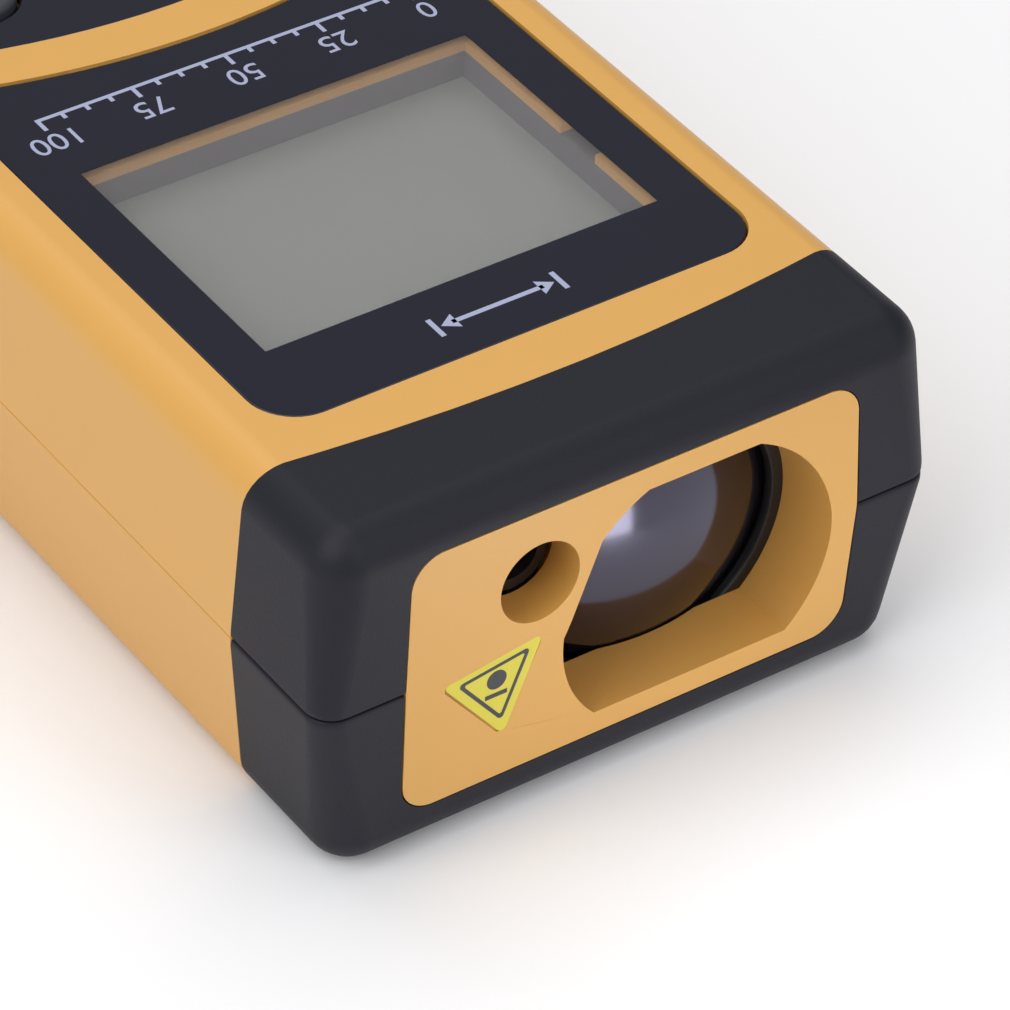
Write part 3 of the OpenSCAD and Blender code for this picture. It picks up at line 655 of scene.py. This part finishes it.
class METER_OT_lens(MeterOperator, bpy.types.Operator):
    """Domed receiver lens, its ring and the laser's barrel and lens"""

    bl_idname = "meter.lens"
    bl_label = "Lenses"

    def execute(self, context):
        apex = LENS_BOX[0].y / MM
        back = LENS_BOX[1].y / MM
        steps = 24
        profile = []
        for i in range(steps + 1):
            radius = LENS_R * i / steps
            profile.append((radius, apex + LENS_CURVE_R - math.sqrt(LENS_CURVE_R ** 2 - radius ** 2)))
        profile += [(LENS_R, back), (0, back)]
        bm = bmesh.new()
        revolve(bm, profile, LENS_X, LENS_Z, turns=128)
        piece_from("receiver_glass", bm, lens_coated(), replaces=["receiver_lens"])

        front = RING_BOX[0].y / MM
        rear = RING_BOX[1].y / MM
        lip = 1.1
        hole = RECESS_R - lip
        # (outward, along Y) from the hole's edges: a chamfer behind and a rounded edge in front
        rear_chamfer = ((0.35, 0), (0, -0.3))
        front_round = ((0, 0.35), (0.15, 0.08), (0.4, 0))
        profile = [(hole + out, rear + y) for out, y in rear_chamfer]
        profile += [(hole + out, front + y) for out, y in front_round]
        profile += [(RING_R, front), (RING_R, rear), profile[0]]
        bm = bmesh.new()
        revolve(bm, profile, LENS_X, LENS_Z, turns=128)
        bmesh.ops.remove_doubles(bm, verts=bm.verts, dist=0.001)
        for face in [f for f in bm.faces if len(f.verts) > 4]:
            bm.faces.remove(face)
        piece_from("lens_bezel", bm, ring_pom(), replaces=["lens_ring"])

        finish_nodes(barrel_aluminium(), "ring_black", "laser_barrel")
        finish_nodes(diode_glass(), "coated_lens", "collimator_lens")
        return {"FINISHED"}


class METER_OT_window(MeterOperator, bpy.types.Operator):
    """Printed display window: glossy border, clear pane and the scale"""

    bl_idname = "meter.window"
    bl_label = "Display window"

    def execute(self, context):
        settings = context.scene.meter_display
        low, high = VIEW_BOX[0] / MM, VIEW_BOX[1] / MM
        past = 1
        bm = cad_copy("display_window")
        ease(bm, ACRYLIC_EASE)
        border = piece_from("window_border", bm, border_acrylic(settings), replaces=["display_window"])
        through = bmesh.new()
        block(through, (low.x, low.y, WINDOW_BASE - past), (high.x, high.y, WINDOW_TOP + past))
        cut(border, through)
        seat = bmesh.new()
        block(seat, (low.x - PANE_LAP, low.y - PANE_LAP, WINDOW_BASE - past),
              (high.x + PANE_LAP, high.y + PANE_LAP, WINDOW_TOP - PRINT_T))
        cut(border, seat)

        bm = bmesh.new()
        block(bm, (low.x - PANE_LAP, low.y - PANE_LAP, WINDOW_BASE),
              (high.x + PANE_LAP, high.y + PANE_LAP, WINDOW_TOP - PRINT_T))
        piece_from("window_pane", bm, clear_acrylic())
        self.print_scale(ink("ink_pale_lilac", settings.ink_colour))
        finish_nodes(foam_black(), "black_foam", "window_gasket")
        return {"FINISHED"}

    def print_scale(self, material):
        """The graduated line, its numerals and a pictogram of a measured distance."""
        line_y = -3.8
        tick_pitch, ticks, long_every = 2.07, 16, 4
        short, long = 0.75, 1.4
        width = 0.35
        numeral_h, numeral_drop = 2.2, 2.9
        top = WINDOW_TOP + INK_T
        bm = bmesh.new()
        start_x = -tick_pitch * ticks / 2
        block(bm, (start_x - width / 2, line_y - width / 2, WINDOW_TOP),
              (-start_x + width / 2, line_y + width / 2, top))
        for i in range(ticks + 1):
            x = start_x + tick_pitch * i
            reach = long if i % long_every == 0 else short
            block(bm, (x - width / 2, line_y - reach, WINDOW_TOP), (x + width / 2, line_y - width / 2, top))
        self.arrow_pictogram(bm, top)
        piece_from("window_scale", bm, material)
        for i, text in enumerate(("100", "75", "50", "25", "0")):
            x = start_x + tick_pitch * long_every * i
            numeral(f"numeral_{text}", text, numeral_h, (x, line_y - numeral_drop, WINDOW_TOP), material)

    def arrow_pictogram(self, bm, top):
        """A double arrow between two bars, where a maker's marking would be."""
        drop, half, bar, width = 4.15, 5.2, 1.1, 0.42
        head, head_l, tip_gap, shaft_gap = 0.85, 1.3, 0.25, 1.2
        middle_y = VIEW_BOX[0].y / MM - drop
        block(bm, (-half + shaft_gap, middle_y - width / 2, WINDOW_TOP),
              (half - shaft_gap, middle_y + width / 2, top))
        for side in (-1, 1):
            x = side * half
            block(bm, (min(x, x + side * width), middle_y - bar, WINDOW_TOP),
                  (max(x, x + side * width), middle_y + bar, top))
            tip = x - side * tip_gap
            base = tip - side * head_l
            points = [(tip, middle_y), (base, middle_y - head), (base, middle_y + head)]
            slab(bm, points if side < 0 else list(reversed(points)), WINDOW_TOP, top)


def numeral(name, text, height, place, material, body="case"):
    """A printed number, read by someone who holds the optics end away from them."""
    capital = 0.73
    curve = bpy.data.curves.new(name, "FONT")
    curve.body = text
    curve.size = height / capital * MM
    curve.extrude = INK_T / 2 * MM
    curve.align_x = "CENTER"
    curve.align_y = "CENTER"
    curve.resolution_u = 4
    maker = bpy.data.objects.new(name, curve)
    bpy.context.scene.collection.objects.link(maker)
    bpy.context.view_layer.update()
    mesh = bpy.data.meshes.new_from_object(maker.evaluated_get(bpy.context.evaluated_depsgraph_get()))
    bpy.data.objects.remove(maker)
    mesh.transform(Matrix.Translation(Vector(place) * MM + Vector((0, 0, INK_T / 2 * MM)))
                   @ Matrix.Rotation(math.pi, 4, "Z"))
    mesh.materials.clear()
    mesh.materials.append(material)
    piece = bpy.data.objects.new(name, mesh)
    bpy.context.scene.collection.objects.link(piece)
    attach(piece, body)
    return piece


class METER_OT_display(MeterOperator, bpy.types.Operator):
    """Display cell, its frame, reflector and contact strip"""

    bl_idname = "meter.display"
    bl_label = "Display"

    def execute(self, context):
        settings = context.scene.meter_display
        finish_nodes(display_glass(settings), "lcd_glass", "display_glass")
        finish_nodes(frame_grey(), "grey_frame", "display_frame")
        finish_nodes(film_white(), "white_film", "display_reflector")
        finish_nodes(zebra_rubber(), "pink_elastomer", "contact_strip")
        return {"FINISHED"}


def key_box(name):
    low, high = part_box(name)
    return low / MM, high / MM


def crowned_key(bm, x, y, half, radius, low, high):
    """Adds a key with a softly rounded rim and a gently domed top."""
    rim, crown, rim_steps, crown_steps = 0.6, 0.25, 6, 6
    least_r = 0.02
    loops = [[(*p, low) for p in stadium(x, y, half, radius)],
             [(*p, high - crown - rim) for p in stadium(x, y, half, radius)]]
    for i in range(1, rim_steps + 1):
        a = math.pi / 2 * i / rim_steps
        loops.append([(*p, high - crown - rim + rim * math.sin(a))
                      for p in stadium(x, y, half, radius - rim * (1 - math.cos(a)))])
    within = radius - rim
    for i in range(1, crown_steps + 1):
        left = 1 - i / crown_steps
        loops.append([(*p, high - crown * left ** 2)
                      for p in stadium(x, y, half, max(within * left, least_r))])
    loft(bm, loops)


def key_marks(bm, name, x, y, top):
    """Adds a key's generic mark."""
    w, low, high = 0.36, top - INK_ROOT, top + INK_T

    def bar(x0, y0, x1, y1):
        block(bm, (x + min(x0, x1), y + min(y0, y1), low), (x + max(x0, x1), y + max(y0, y1), high))

    if name in ("plus_key", "minus_key"):
        arm = 1.1
        bar(-arm, -w / 2, arm, w / 2)
        if name == "plus_key":
            bar(-w / 2, -arm, w / 2, arm)
    if name == "area_key":
        half_x, half_y = 1.1, 0.95
        for side in (-1, 1):
            bar(-half_x, side * half_y - w / 2, half_x, side * half_y + w / 2)
            bar(side * half_x - w / 2, -half_y - w / 2, side * half_x + w / 2, half_y + w / 2)
    if name == "edge_key":
        post_x, post_half, beam_start, beam_end = -1.6, 1.1, -1.0, 1.7
        bar(post_x, -post_half, post_x + w, post_half)
        bar(beam_start, -w / 2, beam_end, w / 2)
    if name == "units_key":
        half, base_y, pitch, ticks, long, short = 1.7, -0.9, 0.85, 5, 0.7, 0
        bar(-half, base_y - w / 2, half, base_y + w / 2)
        for i in range(ticks):
            bar(-half + i * pitch - w / 2, base_y, -half + i * pitch + w / 2, long if i % 2 == 0 else short)
    if name == "clear_key":
        # One arm of the cross stands a little higher, so that their tops don't share a plane
        half, angle, step = 1.3, 45, 0.003
        for turn in (angle, -angle):
            spin = Matrix.Rotation(math.radians(turn), 2)
            corners = ((-half, -w / 2), (half, -w / 2), (half, w / 2), (-half, w / 2))
            points = [spin @ Vector(c) for c in corners]
            slab(bm, [(x + p.x, y + p.y) for p in points], low, high + turn / angle * step)
    if name == "history_key":
        half, pitch = 1.5, 0.8
        for i in (-1, 0, 1):
            bar(-half, i * pitch - w / 2, half, i * pitch + w / 2)


class METER_OT_keypad(MeterOperator, bpy.types.Operator):
    """Keypad fascia, the seven small keys, the measure key and their domes"""

    bl_idname = "meter.keypad"
    bl_label = "Keypad"

    def execute(self, context):
        display = context.scene.meter_display
        settings = context.scene.meter_keys
        bm = cad_copy("keypad_fascia")
        ease(bm, ACRYLIC_EASE)
        fascia = surface("acrylic_fascia", display.border_colour, 0.12, 6.0, 0.002, drift=0.05, ior=1.49)
        piece_from("fascia", bm, fascia, replaces=["keypad_fascia"])
        small = silicone("silicone_dark_grey", settings.key_colour)
        large = silicone("silicone_red", settings.measure_colour)
        mark = ink("ink_white", settings.mark_colour)
        for name in OVAL_KEYS + ("measure_key",):
            self.key(name, small if name != "measure_key" else large, mark)
        finish_nodes(zinc_steel(), "steel", "key_domes")
        return {"FINISHED"}

    def key(self, name, material, mark):
        """One key, placed and sized by its CAD box: a crowned cap, a flange and a stem."""
        low, high = key_box(name)
        x, y = (low.x + high.x) / 2, (low.y + high.y) / 2
        flange, flange_t, stem_r, play = 0.9, 1.1, 1.6, 0.3
        radius = (high.y - low.y) / 2 - flange
        half = (high.x - low.x) / 2 - flange - radius
        top = high.z - KEY_TOP_DROP
        flange_low = CAVITY_Z - play - flange_t
        bm = bmesh.new()
        crowned_key(bm, x, y, half, radius, flange_low + flange_t, top)
        slab(bm, stadium(x, y, half, radius + flange), flange_low, flange_low + flange_t)
        slab(bm, stadium(x, y, 0, stem_r), low.z, flange_low)
        body = next(b for b, members in BODIES.items() if name in members)
        piece_from(name.replace("_key", "_button"), bm, material, body=body, replaces=[name])
        bm = bmesh.new()
        if name == "measure_key":
            self.target(bm, x, y, top - INK_T)
        else:
            key_marks(bm, name, x, y, top - INK_T)
        piece_from(name.replace("_key", "_mark"), bm, mark, body=body)

    def target(self, bm, x, y, top):
        """A ring with a dot and a short beam, for the measure key."""
        steps, outer, inner, dot_r = 48, 1.9, 1.5, 0.45
        beam_half, beam_end, beam_gap = 0.2, 3.6, 0.2
        low, high = top - INK_ROOT, top + INK_T
        loops = []
        for radius, z in ((outer, low), (outer, high), (inner, high), (inner, low)):
            loops.append([bm.verts.new((x + radius * math.cos(2 * math.pi * i / steps),
                                        y + radius * math.sin(2 * math.pi * i / steps), z))
                          for i in range(steps)])
        bridge(bm, loops + loops[:1])
        block(bm, (x - beam_half, y - beam_end, low), (x + beam_half, y - outer - beam_gap, high))
        slab(bm, stadium(x, y, 0, dot_r), low, high)


class METER_OT_battery(MeterOperator, bpy.types.Operator):
    """Battery door, cells, coil springs and contact plates"""

    bl_idname = "meter.battery"
    bl_label = "Battery bay"

    def execute(self, context):
        settings = context.scene.meter_case
        door_ease, underside = 0.1, 1
        bm = cad_copy("battery_door")
        ease(bm, door_ease, lambda p: p.z < underside)
        piece_from("door", bm, orange_abs(settings), body="battery_door", replaces=["battery_door"])
        self.cells()
        self.springs()
        finish_nodes(zinc_steel(), "steel", "contact_plates")
        return {"FINISHED"}

    def cells(self):
        """Two cells in printed film, their steel ends showing."""
        low, high = key_box("battery_cells")
        radius = (high.z - low.z) / 2
        z = (high.z + low.z) / 2
        jacket = wrap_film("film_cell_jacket", linear("#2B3A55"))
        steel = tinned_can()
        for side, letter, replaced in ((-1, "a", ["battery_cells"]), (1, "b", [])):
            x = side * ((high.x - low.x) / 2 - radius)
            start_y, way = (high.y, -1) if side < 0 else (low.y, 1)
            tip_r, tip_l, tip_corner_r, tip_corner_l, tip_lap = 1.9, 0.8, 0.3, 0.25, 0.05
            shoulder, corner, flat_in, crimp = 0.5, 0.15, 1.2, 0.1
            length = high.y - low.y

            def at(distance):
                return start_y + way * distance

            bm = bmesh.new()
            revolve(bm, [(0, at(tip_l)), (radius - flat_in, at(tip_l)),
                         (radius - shoulder, at(tip_l + crimp)),
                         (radius - corner, at(tip_l + shoulder * 0.5)), (radius, at(tip_l + shoulder * 1.2)),
                         (radius, at(length - shoulder)), (radius - corner, at(length - corner)),
                         (radius - shoulder, at(length)), (0, at(length))], x, z, turns=64)
            piece_from(f"cell_{letter}", bm, jacket, replaces=replaced)
            bm = bmesh.new()
            revolve(bm, [(0, at(0)), (tip_r - tip_corner_r, at(0)), (tip_r, at(tip_corner_l)),
                         (tip_r, at(tip_l + tip_lap)), (0, at(tip_l + tip_lap))], x, z, turns=48)
            piece_from(f"cell_cap_{letter}", bm, steel)

    def springs(self):
        """Two conical coil springs on their plates."""
        low, high = key_box("contact_springs")
        cells_low, cells_high = key_box("battery_cells")
        radius = (cells_high.z - cells_low.z) / 2
        z = (cells_high.z + cells_low.z) / 2
        steel = zinc_steel()
        wire_r, plate_t, plate_half, turns, steps = 0.25, 0.4, 4.0, 4, 32
        wide, narrow, end_gap = 3.4, 2.0, 0.1
        for side, wall, way in ((-1, low.y, 1), (1, high.y, -1)):
            x = side * ((cells_high.x - cells_low.x) / 2 - radius)
            reach = (cells_low.y - low.y if side < 0 else high.y - cells_high.y) - end_gap
            letter = "a" if side < 0 else "b"
            bm = bmesh.new()
            block(bm, (x - plate_half, min(wall, wall + way * plate_t), z - plate_half),
                  (x + plate_half, max(wall, wall + way * plate_t), z + plate_half))
            piece_from(f"spring_plate_{letter}", bm, steel,
                       replaces=["contact_springs"] if side < 0 else ())
            curve = bpy.data.curves.new(f"spring_{letter}", "CURVE")
            curve.dimensions = "3D"
            curve.bevel_depth = wire_r * MM
            curve.bevel_resolution = 3
            curve.use_fill_caps = True
            line = curve.splines.new("POLY")
            line.points.add(turns * steps)
            for i in range(turns * steps + 1):
                part = i / (turns * steps)
                angle = 2 * math.pi * turns * part
                coil_r = wide + (narrow - wide) * part
                y = wall + way * (plate_t + wire_r + (reach - plate_t - 2 * wire_r) * part)
                line.points[i].co = (*(Vector((x + coil_r * math.cos(angle), y,
                                               z + coil_r * math.sin(angle))) * MM), 1)
            curve.materials.append(steel)
            coil = bpy.data.objects.new(f"spring_{letter}", curve)
            bpy.context.scene.collection.objects.link(coil)
            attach(coil, "case")


class METER_OT_insides(MeterOperator, bpy.types.Operator):
    """Materials of the chassis, boards, detector and fasteners"""

    bl_idname = "meter.insides"
    bl_label = "Insides"

    def execute(self, context):
        finish_nodes(chassis_nylon(), "chassis_black", "optics_chassis")
        finish_nodes(brass(), "brass", "tripod_insert", "detector_pins")
        finish_nodes(zinc_steel(), "steel", "case_screws", "board_screws", "optics_screws")
        finish_nodes(tinned_can(), "steel", "shield_can", "laser_diode", "detector")
        finish_nodes(board_green(), "green_board", "main_board", "detector_board")
        finish_nodes(epoxy_black(), "chip_black", "board_chips", "buzzer")
        finish_nodes(polyimide(), "amber_film", "laser_flex")
        return {"FINISHED"}


class METER_OT_stage(MeterOperator, bpy.types.Operator):
    """Pale floor, soft lamps and the camera"""

    bl_idname = "meter.stage"
    bl_label = "Stage"

    def execute(self, context):
        settings = context.scene.meter_studio
        self.floor(settings)
        self.light(settings)
        self.camera(context, settings)
        context.scene.view_settings.view_transform = "Standard"
        return {"FINISHED"}

    def floor(self, settings):
        half, cells, gap = 2000, 8, 0.02
        bm = bmesh.new()
        bmesh.ops.create_grid(bm, x_segments=cells, y_segments=cells, size=half * MM)
        mesh = bpy.data.meshes.new("table")
        bm.to_mesh(mesh)
        bm.free()
        mesh.materials.append(table_paper(settings))
        floor = bpy.data.objects.new("table", mesh)
        floor.location.z = CAD_BOX[0].z - gap * MM
        bpy.context.scene.collection.objects.link(floor)

    def light(self, settings):
        world = bpy.data.worlds.new("studio_air")
        bpy.context.scene.world = world
        world.use_nodes = True
        tree = world.node_tree
        tree.nodes.clear()
        air_strength = 0.30
        air = node(tree, "ShaderNodeBackground",
                   {"Color": linear("#F4F5FA"), "Strength": air_strength * settings.light})
        node(tree, "ShaderNodeOutputWorld", links={"Surface": air.outputs["Background"]})
        centre = Vector((0, 0, 0.015))
        # Name, direction from the object, distance and size in metres, and power in watts of each lamp
        lamps = (
            ("softbox_left", (-0.75, -0.15, 0.75), 0.9, 0.7, 4.3),
            ("softbox_top", (0.05, 0.25, 1.0), 1.1, 1.1, 6.3),
            ("softbox_front", (0.25, -1.0, 0.8), 1.2, 0.8, 3.7),
            ("low_card", (0.07, -1.0, -0.075), 0.1, 0.014, 0.004),
        )
        for name, way, distance, size, power in lamps:
            lamp = bpy.data.lights.new(name, "AREA")
            lamp.shape = "SQUARE"
            lamp.size = size
            lamp.energy = power * settings.light
            holder = bpy.data.objects.new(name, lamp)
            way = Vector(way).normalized()
            holder.location = centre + way * distance
            holder.visible_camera = False
            holder.rotation_euler = way.to_track_quat("Z", "Y").to_euler()
            bpy.context.scene.collection.objects.link(holder)

    def camera(self, context, settings):
        sensor = 36
        aim = Vector((0, CAD_BOX[0].y + settings.aim_back, settings.aim_height))
        level = math.cos(settings.elevation)
        forward = Vector((math.sin(settings.azimuth) * level, math.cos(settings.azimuth) * level,
                          -math.sin(settings.elevation)))
        side = forward.cross(Vector((0, 0, 1))).normalized()
        over = side.cross(forward)
        right = side * math.cos(settings.roll) + over * math.sin(settings.roll)
        up = over * math.cos(settings.roll) - side * math.sin(settings.roll)
        lens = bpy.data.cameras.new("camera")
        lens.lens = settings.lens
        lens.sensor_width = sensor
        lens.clip_start = 0.01
        holder = bpy.data.objects.new("camera", lens)
        turn = Matrix((right, up, -forward)).transposed().to_4x4()
        holder.matrix_world = Matrix.Translation(aim - forward * settings.distance) @ turn
        bpy.context.scene.collection.objects.link(holder)
        context.scene.camera = holder


OPERATORS = (
    METER_OT_stage, METER_OT_shells, METER_OT_bumpers, METER_OT_optics_panel, METER_OT_label,
    METER_OT_lens, METER_OT_window, METER_OT_display, METER_OT_keypad, METER_OT_battery,
    METER_OT_insides)


class METER_PT_panel(bpy.types.Panel):
    """Lists the meter's pieces in the sidebar"""

    bl_idname = "METER_PT_panel"
    bl_label = "Laser Distance Meter"
    bl_space_type = "VIEW_3D"
    bl_region_type = "UI"
    bl_category = "Meter"

    def draw(self, context):
        for group in ("meter_case", "meter_display", "meter_keys", "meter_studio"):
            settings = getattr(context.scene, group)
            box = self.layout.box()
            for name in settings.__annotations__:
                box.prop(settings, name)
        for operator in OPERATORS:
            self.layout.operator(operator.bl_idname)


GROUPS = {
    "meter_case": MeterCase, "meter_display": MeterDisplay, "meter_keys": MeterKeys,
    "meter_studio": MeterStudio}


def register():
    for made in (*GROUPS.values(), *OPERATORS, METER_PT_panel):
        bpy.utils.register_class(made)
    for name, group in GROUPS.items():
        setattr(bpy.types.Scene, name, PointerProperty(type=group))


def unregister():
    for name in GROUPS:
        delattr(bpy.types.Scene, name)
    for made in reversed((*GROUPS.values(), *OPERATORS, METER_PT_panel)):
        bpy.utils.unregister_class(made)


def main():
    register()
    for operator in OPERATORS:
        family, name = operator.bl_idname.split(".")
        getattr(getattr(bpy.ops, family), name)()


if __name__ == "__main__":
    main()
